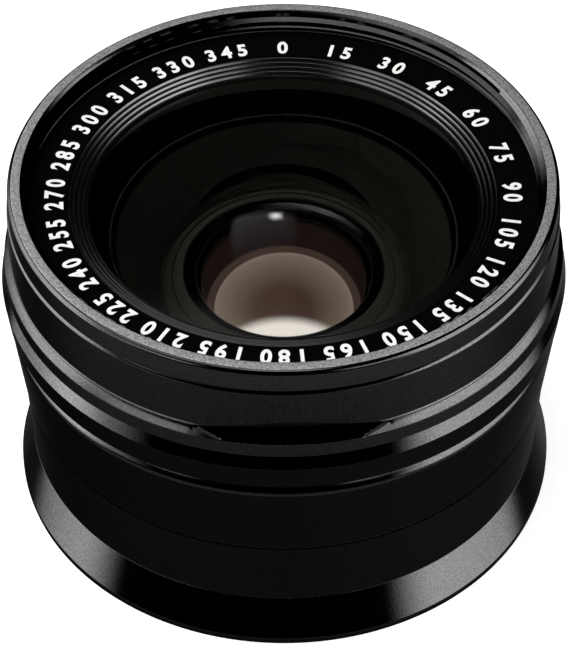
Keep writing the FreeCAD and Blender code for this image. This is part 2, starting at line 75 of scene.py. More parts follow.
def newMaterial(name):
    mat = bpy.data.materials.new(name)
    mat.use_nodes = True
    tree = mat.node_tree
    shader = tree.nodes["Principled BSDF"]
    return mat, tree, shader


def addNode(tree, kind, **values):
    node = tree.nodes.new(kind)
    for key, value in values.items():
        if key in node.inputs:
            node.inputs[key].default_value = value
        else:
            setattr(node, key, value)
    return node


def objectCoords(tree):
    return tree.nodes.new("ShaderNodeTexCoord").outputs["Object"]


def addGrain(tree, shader, scale, height):
    # fine blasted grain as a bump
    noise = addNode(tree, "ShaderNodeTexNoise", Scale=scale, Detail=2.0, Roughness=0.6)
    tree.links.new(objectCoords(tree), noise.inputs["Vector"])
    bump = addNode(tree, "ShaderNodeBump", Strength=1.0, Distance=height)
    tree.links.new(noise.outputs["Fac"], bump.inputs["Height"])
    tree.links.new(bump.outputs["Normal"], shader.inputs["Normal"])
    return noise


def mixColours(tree, fac, dark, light):
    ramp = tree.nodes.new("ShaderNodeValToRGB")
    ramp.color_ramp.elements[0].color = (*dark, 1)
    ramp.color_ramp.elements[1].color = (*light, 1)
    tree.links.new(fac, ramp.inputs["Fac"])
    return ramp


anodisedSet = {
    "barrel": {"dark": (0.015, 0.015, 0.0152), "light": (0.023, 0.023, 0.0233),
               "low": 0.35, "high": 0.65, "roughness": 0.09, "edge": 0.45,
               "grain": 5200.0, "height": 0.0000055},
    "rim": {"dark": (0.10, 0.10, 0.10), "light": (0.24, 0.24, 0.238),
            "low": 0.36, "high": 0.64, "roughness": 0.6, "edge": 0.8,
            "grain": 5200.0, "height": 0.000008},
    "ring": {"dark": (0.024, 0.024, 0.025), "light": (0.034, 0.034, 0.035),
             "low": 0.35, "high": 0.65, "roughness": 0.22, "edge": 0.5,
             "grain": 9000.0, "height": 0.000001},
}


def makeAnodised(name, s):
    # dyed oxide over metal: a dark reflection that hardly rises at the edges
    mat, tree, shader = newMaterial(name)
    noise = addGrain(tree, shader, s["grain"], s["height"])
    ramp = mixColours(tree, noise.outputs["Fac"], s["dark"], s["light"])
    ramp.color_ramp.elements[0].position = s["low"]
    ramp.color_ramp.elements[1].position = s["high"]
    tree.links.new(ramp.outputs["Color"], shader.inputs["Base Color"])
    shader.inputs["Metallic"].default_value = 1.0
    shader.inputs["Roughness"].default_value = s["roughness"]
    edge = s["edge"]
    shader.inputs["Specular Tint"].default_value = (edge, edge, edge, 1)
    return mat


barrelBlack = makeAnodised("satinBarrelBlack", anodisedSet["barrel"])
rimBlack = makeAnodised("blastedRimBlack", anodisedSet["rim"])
ringBlack = makeAnodised("turnedRingBlack", anodisedSet["ring"])


def makeMatt(name, colour, roughness, grain, height, gloss=0.1):
    mat, tree, shader = newMaterial(name)
    noise = addGrain(tree, shader, grain, height)
    light = tuple(1.6 * c for c in colour)
    ramp = mixColours(tree, noise.outputs["Fac"], colour, light)
    tree.links.new(ramp.outputs["Color"], shader.inputs["Base Color"])
    shader.inputs["Roughness"].default_value = roughness
    shader.inputs["Specular IOR Level"].default_value = gloss
    return mat


baffleBlack = makeMatt("baffleMattBlack", (0.035, 0.035, 0.029), 0.75, 5000.0, 0.000005)
boreBlack = makeMatt("boreMattBlack", (0.09, 0.088, 0.080), 0.8, 5000.0, 0.000005, 0.05)
inkBlack = makeMatt("lensEdgeInk", (0.0006, 0.0006, 0.0006), 0.9, 4000.0, 0.000002, 0.0)
# real black edge paint, made lighter and olive so that its image inside the glass is a painted reflection
edgePaintPaintedReflection = makeMatt("lensEdgePaintPaintedReflection", (0.038, 0.036, 0.030), 0.9, 4000.0, 0.000002, 0.0)
groundGlass = makeMatt("lensGroundBevel", (0.018, 0.018, 0.014), 0.6, 4000.0, 0.000002)
sealBlack = makeMatt("sealRubber", (0.006, 0.006, 0.006), 0.6, 3000.0, 0.000003)


def makePlate():
    mat, tree, shader = newMaterial("namePlateBlack")
    noise = addGrain(tree, shader, 12000.0, 0.0000005)
    ramp = mixColours(tree, noise.outputs["Fac"], (0.0012, 0.0012, 0.0012), (0.0022, 0.0022, 0.0022))
    tree.links.new(ramp.outputs["Color"], shader.inputs["Base Color"])
    shader.inputs["Roughness"].default_value = 0.3
    shader.inputs["Specular IOR Level"].default_value = 0.0
    return mat


def makePaint():
    mat, tree, shader = newMaterial("numberPaintWhite")
    noise = addGrain(tree, shader, 8000.0, 0.000001)
    ramp = mixColours(tree, noise.outputs["Fac"], (0.80, 0.80, 0.79), (0.92, 0.92, 0.91))
    tree.links.new(ramp.outputs["Color"], shader.inputs["Base Color"])
    shader.inputs["Roughness"].default_value = 0.55
    return mat


plateBlack = makePlate()
paintWhite = makePaint()


glassSet = {
    "front": {"tint": (0.97, 0.965, 0.93), "coat": (0.010, 0.008, 0.011), "bend": 1.80},
    "inner": {"tint": (0.93, 0.90, 0.87), "coat": (0.012, 0.006, 0.010), "bend": 1.52},
    "rear": {"tint": (0.95, 0.93, 0.90), "coat": (0.025, 0.025, 0.015), "bend": 1.52},
}


def makeGlass(name, s):
    mat, tree, shader = newMaterial(name)
    noise = addNode(tree, "ShaderNodeTexNoise", Scale=150.0, Detail=1.0)
    tree.links.new(objectCoords(tree), noise.inputs["Vector"])
    pale = tuple(min(1.0, 1.01 * c) for c in s["tint"])
    ramp = mixColours(tree, noise.outputs["Fac"], s["tint"], pale)
    tree.links.new(ramp.outputs["Color"], shader.inputs["Base Color"])
    shader.inputs["Roughness"].default_value = 0.0
    shader.inputs["IOR"].default_value = s["bend"]
    shader.inputs["Transmission Weight"].default_value = 1.0
    shader.inputs["Specular Tint"].default_value = (*s["coat"], 1)
    return mat


frontGlass = makeGlass("coatedFrontGlass", glassSet["front"])
innerGlass = makeGlass("coatedInnerGlass", glassSet["inner"])
rearGlass = makeGlass("coatedRearGlass", glassSet["rear"])


def makeMetal(name, dark, light, roughness, grain):
    mat, tree, shader = newMaterial(name)
    noise = addGrain(tree, shader, grain, 0.000002)
    ramp = mixColours(tree, noise.outputs["Fac"], dark, light)
    tree.links.new(ramp.outputs["Color"], shader.inputs["Base Color"])
    shader.inputs["Metallic"].default_value = 1.0
    shader.inputs["Roughness"].default_value = roughness
    return mat


screwSteel = makeMetal("screwBlackenedSteel", (0.05, 0.05, 0.052), (0.09, 0.09, 0.092), 0.3, 6000.0)
shimBrass = makeMetal("shimRolledBrass", (0.55, 0.40, 0.18), (0.62, 0.47, 0.22), 0.3, 3000.0)
print("materials made")


# Making turned pieces: an outline in mm, rounded corners, one full spin

def outlineEdges(points, segments):
    # points are (radius, height, rounding); the face is only there for the bevel
    bm = bmesh.new()
    verts = [bm.verts.new((p[0] * mm, 0.0, p[1] * mm)) for p in points]
    bm.faces.new(verts)
    roundings = sorted({p[2] for p in points if len(p) > 2 and p[2] > 0})
    for size in roundings:
        corners = [v for v, p in zip(verts, points) if len(p) > 2 and p[2] == size]
        bmesh.ops.bevel(bm, geom=corners, offset=size * mm, offset_type="OFFSET", segments=segments,
                        profile=0.5, affect="VERTICES", material=-1)
    bmesh.ops.delete(bm, geom=bm.faces[:], context="FACES_ONLY")
    return bm


def spinFull(bm, steps):
    bmesh.ops.spin(bm, geom=bm.verts[:] + bm.edges[:], cent=(0, 0, 0), axis=(0, 0, 1),
                   dvec=(0, 0, 0), angle=2 * math.pi, steps=steps, use_merge=True,
                   use_normal_flip=False, use_duplicate=False)


def finishPiece(name, bm, materials, replaced=(), sharpAngle=32.0, weighted=True):
    bmesh.ops.remove_doubles(bm, verts=bm.verts[:], dist=weld)
    bmesh.ops.recalc_face_normals(bm, faces=bm.faces[:])
    mesh = bpy.data.meshes.new(name)
    bm.to_mesh(mesh)
    bm.free()
    for mat in materials:
        mesh.materials.append(mat)
    mesh.shade_smooth()
    mesh.set_sharp_from_angle(angle=math.radians(sharpAngle))
    piece = bpy.data.objects.new(name, mesh)
    bpy.context.scene.collection.objects.link(piece)
    if weighted:
        even = piece.modifiers.new("evenNormals", "WEIGHTED_NORMAL")
        even.mode = "FACE_AREA"
        even.weight = 50
        even.keep_sharp = True
    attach(piece, "root")
    if replaced:
        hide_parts(*replaced)
    return piece


def turnPiece(name, s, materials, replaced):
    bm = outlineEdges(s["outline"], s.get("segments", 3))
    spinFull(bm, s.get("steps", 256))
    return finishPiece(name, bm, materials, replaced)


def cutPiece(piece, cutBm):
    # takes the cutter's solid out of the piece and makes its normals anew
    bmesh.ops.recalc_face_normals(cutBm, faces=cutBm.faces[:])
    cutMesh = bpy.data.meshes.new("cutter")
    cutBm.to_mesh(cutMesh)
    cutBm.free()
    cutter = bpy.data.objects.new("cutter", cutMesh)
    bpy.context.scene.collection.objects.link(cutter)
    piece.modifiers.clear()
    cut = piece.modifiers.new("cut", "BOOLEAN")
    cut.operation = "DIFFERENCE"
    cut.solver = "EXACT"
    cut.object = cutter
    bpy.context.view_layer.update()
    done = bpy.data.meshes.new_from_object(piece.evaluated_get(bpy.context.evaluated_depsgraph_get()))
    piece.modifiers.clear()
    bpy.data.objects.remove(cutter)
    bm = bmesh.new()
    bm.from_mesh(done)
    bmesh.ops.dissolve_degenerate(bm, dist=weld / 5, edges=bm.edges[:])
    bm.to_mesh(done)
    bm.free()
    piece.data = done
    done.shade_smooth()
    done.set_sharp_from_angle(angle=math.radians(32.0))
    even = piece.modifiers.new("evenNormals", "WEIGHTED_NORMAL")
    even.keep_sharp = True


# Screw thread: one V ridge wound inside a bore

def windThread(s):
    bm = bmesh.new()
    half = s["pitch"] * s["baseShare"] / 2
    flat = s["pitch"] * s["crestShare"] / 2
    low = s["start"]
    section = [(s["root"] + s["sunk"], low - half), (s["crest"], low - flat),
               (s["crest"], low + flat), (s["root"] + s["sunk"], low + half)]
    verts = [bm.verts.new((r * mm, 0.0, z * mm)) for r, z in section]
    face = bm.faces.new(verts)
    turnStart = Matrix.Rotation(math.radians(s["startAngle"]), 3, "Z")
    bmesh.ops.rotate(bm, verts=verts, cent=(0, 0, 0), matrix=turnStart)
    steps = int(s["turns"] * s["stepsPerTurn"])
    rise = s["pitch"] * mm / s["stepsPerTurn"]
    made = bmesh.ops.spin(bm, geom=verts + face.edges[:], cent=(0, 0, 0), axis=(0, 0, 1),
                          dvec=(0, 0, rise), angle=2 * math.pi * s["turns"], steps=steps,
                          use_merge=False, use_normal_flip=False, use_duplicate=False)
    last = [e for e in made["geom_last"] if isinstance(e, bmesh.types.BMEdge)]
    bmesh.ops.holes_fill(bm, edges=last, sides=4)
    # the lead-in chamfer cuts the first turn away
    for v in bm.verts:
        r = math.hypot(v.co.x, v.co.y)
        reach = abs(v.co.z / mm - s["face"])
        least = (s["mouth"] - reach) * mm
        if reach < s["chamfer"] and r < least:
            v.co.x *= least / r
            v.co.y *= least / r
    return bm


# Front rim ring with the filter thread

frontRim = {
    "outline": [(24.50, 34.14), (24.50, 36.316), (24.774, 36.59, 0.05), (26.00, 36.59, 0.45),
                (26.12, 34.28, 0.04), (25.98, 34.14, 0.03), (25.194, 34.14), (25.194, 31.49),
                (24.394, 31.49), (24.394, 34.14)],
    "segments": 6,
    "steps": 360,
}
rimRing = turnPiece("frontRimRing", frontRim, [barrelBlack, rimBlack], ["front_rim_ring"])
for face in rimRing.data.polygons:
    if face.normal.z > 0.99:
        face.material_index = 1     # the flat top is blasted coarser

filterThread = {
    "pitch": 0.75, "root": 24.50, "crest": 24.094, "sunk": 0.03, "baseShare": 0.9,
    "crestShare": 0.16, "start": 34.50, "startAngle": -60.0, "turns": 2.25,
    "stepsPerTurn": 240, "face": 36.59, "mouth": 24.80, "chamfer": 0.72,
}
finishPiece("filterThread", windThread(filterThread), [barrelBlack], weighted=False)
print("rim ring made")


# Name ring: a thin black plate with plain numbers, as on a dial

namePlate = {
    "outline": [(20.45, 33.34), (24.374, 33.34), (24.374, 34.14), (20.45, 34.14, 0.06)],
    "steps": 256,
}
turnPiece("namePlate", namePlate, [plateBlack], ["name_ring"])

dialNumbers = {
    "from": 0, "to": 345, "step": 15,
    "baseline": 20.83,       # radius of the foot of each figure
    "height": 1.82,
    "squeeze": 0.86,
    "bold": 0.035,
    "advance": 1.62,
    "thickness": 0.02,
    "face": 34.14,
    "merge": 0.004,
    "sliver": 0.001,
}


def figureMesh(text, s):
    curve = bpy.data.curves.new("figure" + text, "FONT")
    curve.body = text
    curve.align_x = "CENTER"
    curve.size = 1.0
    curve.offset = s["bold"]
    curve.extrude = 0.0
    curve.resolution_u = 6
    holder = bpy.data.objects.new("figure" + text, curve)
    bpy.context.scene.collection.objects.link(holder)
    bpy.context.view_layer.update()
    mesh = bpy.data.meshes.new_from_object(holder.evaluated_get(bpy.context.evaluated_depsgraph_get()))
    bpy.data.objects.remove(holder)
    bpy.data.curves.remove(curve)
    return mesh


def makeNumbers(s):
    figures = {str(k): figureMesh(str(k), s) for k in range(10)}
    top = max(v.co.y for v in figures["1"].vertices)
    low = min(v.co.y for v in figures["1"].vertices)
    size = s["height"] * mm / (top - low)
    shrink = Matrix.Diagonal((size * s["squeeze"], size, 1.0, 1.0))
    lower = Matrix.Translation((0, -low * size, 0))
    bm = bmesh.new()
    middle = s["baseline"] + s["height"] / 2
    for number in range(s["from"], s["to"] + 1, s["step"]):
        text = str(number)
        for k, figure in enumerate(text):
            shift = (k - (len(text) - 1) / 2) * s["advance"]
            angle = -math.radians(number) - shift / middle
            place = (Matrix.Rotation(angle, 4, "Z")
                     @ Matrix.Translation((0, s["baseline"] * mm, s["face"] * mm)) @ lower @ shrink)
            before = set(bm.verts)
            bm.from_mesh(figures[figure])
            added = [v for v in bm.verts if v not in before]
            bmesh.ops.transform(bm, matrix=place, verts=added)
    bmesh.ops.remove_doubles(bm, verts=bm.verts[:], dist=s["merge"] * mm)
    bmesh.ops.dissolve_degenerate(bm, dist=s["sliver"] * mm, edges=bm.edges[:])
    for face in bm.faces:
        if face.normal.z < 0:
            face.normal_flip()
    made = bmesh.ops.extrude_face_region(bm, geom=bm.faces[:])
    raised = [v for v in made["geom"] if isinstance(v, bmesh.types.BMVert)]
    bmesh.ops.translate(bm, verts=raised, vec=(0, 0, s["thickness"] * mm))
    return bm


finishPiece("dialNumbers", makeNumbers(dialNumbers), [paintWhite], weighted=False)
print("name ring made")


# Front retaining ring, stepped against glare

frontKeeper = {
    "hole": 18.59, "rim": 20.37, "foot": 32.713, "lip": 0.53, "drop": 0.86, "count": 4,
    "flat": 0.35, "slope": 0.60, "dip": 1.20, "rounding": 0.025,
}


def keeperOutline(s):
    width = (s["rim"] - s["hole"]) / s["count"]
    fall = s["drop"] / s["count"]
    top = s["foot"] + s["lip"] + s["drop"]
    points = [(s["hole"], s["foot"]), (s["rim"], s["foot"])]
    for k in range(s["count"]):
        r = s["rim"] - k * width
        z = top - k * fall
        points += [(r, z, s["rounding"]), (r - width * s["flat"], z, s["rounding"]),
                   (r - width * s["slope"], z - fall * s["dip"])]
    points.append((s["hole"], s["foot"] + s["lip"], s["rounding"]))
    return points


turnPiece("frontKeeper", {"outline": keeperOutline(frontKeeper), "segments": 2}, [ringBlack],
          ["front_retaining_ring"])


# Front barrel: smooth band with a fine bevelled foot, and the front lens's seat

frontBarrel = {
    "outline": [(26.36, 28.94), (26.46, 29.04, 0.01), (26.37, 29.16, 0.03),
                (26.22, 33.93, 0.02), (26.02, 34.13, 0.02), (25.214, 34.14), (25.214, 31.39),
                (23.894, 31.39), (23.894, 33.34), (20.39, 33.34), (20.39, 32.61), (20.02, 32.61),
                (20.02, 26.84), (20.82, 26.84), (20.82, 26.00), (20.02, 26.00), (20.02, 24.02),
                (16.60, 24.02), (16.60, 22.92), (21.00, 22.92), (21.00, 22.39), (24.00, 22.39),
                (24.00, 26.29), (23.40, 26.29), (23.40, 28.09), (24.00, 28.09), (24.00, 28.94)],
    "steps": 360,
    # shallow scoop over the trim ring's gap: an arc turned about an axis behind
    "scoopHeight": 2.26,
    "scoopDepth": 0.50,
    "scoopHalf": 18.9,
    "scoopTurn": 1.4,
    "scoopArc": 12,
    "cutterSide": 3.0,
    "cutterBelow": 1.0,
    "boreRadius": 21.5,
    "boreTop": 33.0,
}


def blackenInside(piece, radius, top):
    # the bore behind the glass is painted matt
    for face in piece.data.polygons:
        if math.hypot(face.center.x, face.center.y) < radius * mm and face.center.z < top * mm:
            face.material_index = 1


def makeFrontBarrel(s):
    barrel = turnPiece("frontBarrel", s, [barrelBlack, boreBlack], ["front_barrel"])
    foot = s["outline"][0][1]
    radius = s["outline"][2][0]
    depth = s["scoopDepth"]
    flatness = radius * (1 - math.cos(math.radians(s["scoopHalf"])))
    behind = depth * (radius - depth / 2) / (flatness - depth)
    # the arc's height over its chord gives its own radius
    bow = depth / 4
    chord = math.hypot(depth, s["scoopHeight"])
    curve = (chord ** 2 / 4 + bow ** 2) / (2 * bow)
    points = []
    for k in range(s["scoopArc"] + 1):
        share = k / s["scoopArc"]
        along = (share - 0.5) * chord
        out = math.sqrt(curve ** 2 - along ** 2) - (curve - bow)
        r = radius + behind - depth * (1 - share) + out * s["scoopHeight"] / chord
        z = foot + s["scoopHeight"] * share - out * depth / chord
        points.append((r, z))
    side, below = radius + behind + s["cutterSide"], foot - s["cutterBelow"]
    points += [(side, foot + s["scoopHeight"]), (side, below), (points[0][0], below)]
    cutter = outlineEdges(points, 1)
    spinFull(cutter, 360)
    bmesh.ops.translate(cutter, verts=cutter.verts[:], vec=(0, behind * mm, 0))
    bmesh.ops.rotate(cutter, verts=cutter.verts[:], cent=(0, 0, 0),
                     matrix=Matrix.Rotation(math.radians(s["scoopTurn"]), 3, "Z"))
    cutPiece(barrel, cutter)
    blackenInside(barrel, s["boreRadius"], s["boreTop"])


makeFrontBarrel(frontBarrel)


# Open trim ring: half is spun with its ramp, then mirrored

openRing = {
    "outline": [(25.34, 25.49), (26.48, 25.49), (26.48, 28.10), (26.84, 28.10), (26.46, 28.90),
                (26.43, 28.92), (25.34, 28.92)],
    "segments": 1,
    "openHalf": 13.7,        # half of the open angle, degrees
    "fullHalf": 18.9,
    "turn": 1.4,             # middle of the gap, degrees from the front
    "rampFoot": 28.16,
    "rampTop": 28.94,
    "steps": 200,
    "rampSteps": 36,
    "edge": 26.84,
    "bevel": (0.4756, 28.10),    # its slope, and the height where it starts
    "rampChamfer": 0.17,
    "chamferLeast": 0.02,
    "chamferRise": 3.0,      # it widens this much faster than the ramp falls
    "chamferShare": 2.0,     # and narrows again as the ramp runs out
}


def makeOpenRing(s):
    bm = outlineEdges(s["outline"], s["segments"])
    bmesh.ops.rotate(bm, verts=bm.verts[:], cent=(0, 0, 0),
                     matrix=Matrix.Rotation(math.radians(90), 3, "Z"))
    main = bmesh.ops.spin(bm, geom=bm.verts[:] + bm.edges[:], cent=(0, 0, 0), axis=(0, 0, 1),
                          dvec=(0, 0, 0), angle=-math.radians(180 - s["fullHalf"]), steps=s["steps"],
                          use_merge=False, use_normal_flip=False, use_duplicate=False)
    bmesh.ops.spin(bm, geom=main["geom_last"], cent=(0, 0, 0), axis=(0, 0, 1), dvec=(0, 0, 0),
                   angle=-math.radians(s["fullHalf"] - s["openHalf"]), steps=s["rampSteps"],
                   use_merge=False, use_normal_flip=False, use_duplicate=False)
    openX = s["edge"] * math.sin(math.radians(s["openHalf"])) * mm
    fullX = s["edge"] * math.sin(math.radians(s["fullHalf"])) * mm
    slope, low = s["bevel"]
    corner = (s["outline"][4][0] * mm, s["outline"][5][0] * mm)
    for v in bm.verts:
        if v.co.y < 0 and v.co.x < fullX and v.co.z > low * mm + weld / 5:
            # the top follows the ramp, and its outer corner slides down the bevel
            share = max(0.0, (v.co.x - openX) / (fullX - openX))
            most = s["rampFoot"] + share * (s["rampTop"] - s["rampFoot"])
            chamfer = min(s["rampChamfer"], s["chamferShare"] * (most - low),
                          s["chamferLeast"] + s["chamferRise"] * (s["rampTop"] - most))
            r = math.hypot(v.co.x, v.co.y)
            height = most
            reach = r / mm
            if abs(r - corner[0]) < 4 * weld:
                height = most - chamfer
                reach = s["edge"] - slope * (height - low)
            elif abs(r - corner[1]) < 4 * weld:
                reach = s["edge"] - slope * (most - low) - chamfer
            if height * mm < v.co.z:
                v.co = (v.co.x * reach * mm / r, v.co.y * reach * mm / r, height * mm)
    bmesh.ops.remove_doubles(bm, verts=bm.verts[:], dist=weld)
    ends = [e for e in bm.edges if e.is_boundary and all(v.co.y < 0 for v in e.verts)]
    bmesh.ops.holes_fill(bm, edges=ends, sides=0)
    bmesh.ops.mirror(bm, geom=bm.verts[:] + bm.edges[:] + bm.faces[:], matrix=Matrix.Identity(4),
                     merge_dist=2 * weld, axis="X")
    bmesh.ops.rotate(bm, verts=bm.verts[:], cent=(0, 0, 0),
                     matrix=Matrix.Rotation(math.radians(s["turn"]), 3, "Z"))
    return bm


finishPiece("openTrimRing", makeOpenRing(openRing), [barrelBlack], ["open_trim_ring"])


# Main barrel: trough, bright cone, widest band, rounded shoulder and long cone

mainBarrel = {
    "outline": [(25.98, 12.95), (26.82, 21.10, 0.10), (26.754, 21.675, 0.25), (26.52, 22.25, 0.04),
                (26.07, 22.39), (26.07, 22.46), (27.02, 22.60, 0.04), (27.30, 25.24, 0.03),
                (26.92, 26.62, 0.03), (26.86, 28.06, 0.02), (26.52, 28.06, 0.02), (26.52, 25.49),
                (25.30, 25.49), (25.30, 28.94), (24.02, 28.94), (24.02, 21.59), (23.00, 21.59),
                (23.00, 16.00), (17.60, 16.00), (17.60, 12.95), (21.58, 12.95), (21.58, 8.70),
                (24.28, 8.70), (24.28, 12.95)],
    "segments": 4,
    "steps": 360,
    "boreRadius": 24.1,
    "boreTop": 28.0,
}
barrel = turnPiece("mainBarrel", mainBarrel, [barrelBlack, boreBlack], ["main_barrel"])
blackenInside(barrel, mainBarrel["boreRadius"], mainBarrel["boreTop"])


# Rear barrel and mount ring: the waist's lower half and the flared foot

rearBarrel = {
    "outline": [(25.66, 5.20, 0.03), (25.93, 12.60), (24.30, 12.60), (24.30, 8.70), (18.20, 8.70),
                (18.20, 5.20)],
    "steps": 360,
}
turnPiece("rearBarrel", rearBarrel, [barrelBlack], ["rear_barrel"])

mountRing = {
    "outline": [(27.00, 0.00, 0.05), (27.00, 0.70, 0.05), (25.66, 5.20, 0.03), (19.80, 5.20),
                (19.80, 3.70, 0.05), (24.50, 3.70), (24.50, 0.274), (24.774, 0.00, 0.04)],
    "segments": 3,
    "steps": 360,
    "screws": 4, "screwCircle": 21.947, "screwFirst": 45.0, "headRadius": 1.62, "shankRadius": 0.82,
    "headDepth": 0.90, "web": 3.70, "sunk": 0.02,
}


def makeMountRing(s):
    bm = outlineEdges(s["outline"], s["segments"])
    spinFull(bm, s["steps"])
    ring = finishPiece("mountRing", bm, [barrelBlack], ["mount_ring"])
    # countersinks for the four screws in the web
    cutBm = bmesh.new()
    low = s["web"] - s["sunk"]
    for k in range(s["screws"]):
        angle = math.radians(s["screwFirst"] + 360.0 * k / s["screws"])
        spot = Vector((s["screwCircle"] * math.cos(angle), s["screwCircle"] * math.sin(angle), 0)) * mm
        lift = Matrix.Translation(spot + Vector((0, 0, (low + s["headDepth"] / 2) * mm)))
        bmesh.ops.create_cone(cutBm, cap_ends=True, cap_tris=False, segments=48,
                              radius1=s["headRadius"] * mm, radius2=s["shankRadius"] * mm,
                              depth=s["headDepth"] * mm, matrix=lift)
    cutPiece(ring, cutBm)


makeMountRing(mountRing)

mountThread = {
    "pitch": 0.75, "root": 24.50, "crest": 24.094, "sunk": 0.03, "baseShare": 0.9,
    "crestShare": 0.16, "start": 0.34, "startAngle": -60.0, "turns": 4.0,
    "stepsPerTurn": 180, "face": 0.0, "mouth": 24.80, "chamfer": 0.72,
}
finishPiece("mountThread", windThread(mountThread), [barrelBlack], weighted=False)
print("barrels made")


# Lenses: arcs spun from a vertex on the axis; the front lens's foot and edge are painted, and the edge
# paint also carries a painted reflection

lensSet = {
    "frontLens": {"rim": 20.0, "front": 34.09, "frontCurve": 125.0, "back": 31.89, "backCurve": 20.0,
                  "backRim": 15.9, "bevel": 0.16, "hollow": True, "rings": 40},
    "cementedPair": {"rim": 13.5, "front": 19.10, "frontCurve": 60.0, "back": 12.099, "backCurve": 200.0,
                     "backRim": 13.5, "hollow": False, "rings": 28},
    "rearLens": {"rim": 14.5, "front": 10.799, "frontCurve": 90.0, "back": 7.399, "backCurve": 600.0,
                 "backRim": 14.5, "hollow": False, "rings": 24},
}


def makeLens(name, s, glass, replaced):
    bm = bmesh.new()
    start = bm.verts.new((0, 0, s["front"] * mm))
    sweep = math.asin(s["rim"] / s["frontCurve"])
    front = bmesh.ops.spin(bm, geom=[start], cent=(0, 0, (s["front"] - s["frontCurve"]) * mm),
                           axis=(0, 1, 0), dvec=(0, 0, 0), angle=sweep, steps=s["rings"],
                           use_merge=False, use_normal_flip=False, use_duplicate=False)
    frontEdge = [v for v in front["geom_last"] if isinstance(v, bmesh.types.BMVert)][0]
    low = bm.verts.new((0, 0, s["back"] * mm))
    sweep = math.asin(s["backRim"] / s["backCurve"])
    side = -1 if s["hollow"] else 1
    back = bmesh.ops.spin(bm, geom=[low], cent=(0, 0, (s["back"] + side * s["backCurve"]) * mm),
                          axis=(0, 1, 0), dvec=(0, 0, 0), angle=-side * sweep, steps=s["rings"],
                          use_merge=False, use_normal_flip=False, use_duplicate=False)
    backEdge = [v for v in back["geom_last"] if isinstance(v, bmesh.types.BMVert)][0]
    if s["hollow"]:
        corner = bm.verts.new((s["rim"] * mm, 0, backEdge.co.z))
        ground = bm.verts.new(((s["backRim"] + s["bevel"]) * mm, 0, backEdge.co.z))
        bm.edges.new((frontEdge, corner))
        bm.edges.new((corner, ground))
        bm.edges.new((ground, backEdge))
    else:
        bm.edges.new((frontEdge, backEdge))
    spinFull(bm, 256)
    bmesh.ops.remove_doubles(bm, verts=bm.verts[:], dist=weld)
    bmesh.ops.recalc_face_normals(bm, faces=bm.faces[:])
    slack = 0.05 * mm
    rim = s["rim"] * mm - slack
    ink = (s["backRim"] + s.get("bevel", 0)) * mm - slack
    lowest = min(v.co.z for v in bm.verts) + slack / 5
    for face in bm.faces:
        reach = min(math.hypot(v.co.x, v.co.y) for v in face.verts)
        flat = s["hollow"] and max(v.co.z for v in face.verts) < lowest
        if flat and reach > ink:
            face.material_index = 1
        elif flat:
            face.material_index = 2
        elif reach > rim:
            face.material_index = 3
    finishPiece(name, bm, [glass, inkBlack, groundGlass, edgePaintPaintedReflection], replaced, sharpAngle=30.0,
                weighted=False)


makeLens("frontLens", lensSet["frontLens"], frontGlass, ["front_lens"])
makeLens("cementedPair", lensSet["cementedPair"], innerGlass,
         ["pair_front_lens", "pair_rear_lens"])
makeLens("rearLens", lensSet["rearLens"], rearGlass, ["rear_lens"])
print("lenses made")


# CAD pieces that stay as they are get their finish

nodeFinish = {
    "front_lens_seal": sealBlack, "front_grub_screws": screwSteel, "light_baffle": baffleBlack,
    "cell_lock_ring": ringBlack, "cell_shim": shimBrass, "lens_cell": ringBlack,
    "pair_retaining_ring": ringBlack, "rear_retaining_ring": ringBlack, "waist_gasket": sealBlack,
    "barrel_screws": screwSteel, "mount_screws": screwSteel, "rear_light_shield": baffleBlack,
    "front_rim_ring": rimBlack, "name_ring": plateBlack, "front_retaining_ring": ringBlack,
    "front_lens": frontGlass, "front_barrel": barrelBlack, "open_trim_ring": barrelBlack,
    "main_barrel": barrelBlack, "pair_front_lens": innerGlass, "pair_rear_lens": innerGlass,
    "rear_lens": rearGlass, "rear_barrel": barrelBlack, "mount_ring": barrelBlack,
}
for name, mat in nodeFinish.items():
    for holder in nodes[name].material_slots:
        holder.material = mat
print("finishes given")


# Stage: pale floor, white surroundings, soft lights

stageSet = {
    "floorSize": 6.0,
    "floorColour": (0.55, 0.55, 0.55),
    # painted shade on the floor under the lens, with a painted ring of light where light would come through
    # the glass: share of reach, colour
    "paintedSpotCentre": (0.0, -0.0015, 0.0),
    "paintedSpotReach": 0.0275,
    "spot": [(0.0, (0.054, 0.035, 0.027)), (0.145, (0.054, 0.035, 0.027)), (0.35, (0.15, 0.125, 0.105)),
             (0.392, (0.19, 0.165, 0.145)), (0.397, (0.047, 0.033, 0.028)), (0.443, (0.047, 0.033, 0.028)),
             (0.450, (0.010, 0.0065, 0.0065)), (0.88, (0.010, 0.0065, 0.0065)), (0.93, (0.86, 0.86, 0.86))],
    "paintedShadeEdge": 0.905,
    # painted light: the spot's near side is painted brightest, within a circle round this centre
    "paintedGlowCentre": (0.0, -0.0149, 0.0),
    "paintedGlowFrom": 0.0128,
    "paintedGlowTo": 0.0105,
    "glow": (0.88, 0.88, 0.88),
    "room": 0.004,
    # the white table in reflections: sine of the elevation, share of white
    "table": [(-1.0, 0.20), (-0.80, 0.20), (-0.69, 0.40), (-0.63, 0.95), (-0.585, 0.80), (-0.50, 0.0)],
    # and round the lens, which shades it: azimuth in degrees, share of tableMost
    "round": [(-180, 0.60), (-150, 0.46), (-90, 0.40), (-40, 0.55), (0, 0.95), (12, 0.98), (30, 0.43),
              (45, 0.18), (65, 0.10), (115, 0.035), (135, 0.05), (150, 0.17), (170, 0.56), (180, 0.60)],
    "tableMost": 2.5,
}


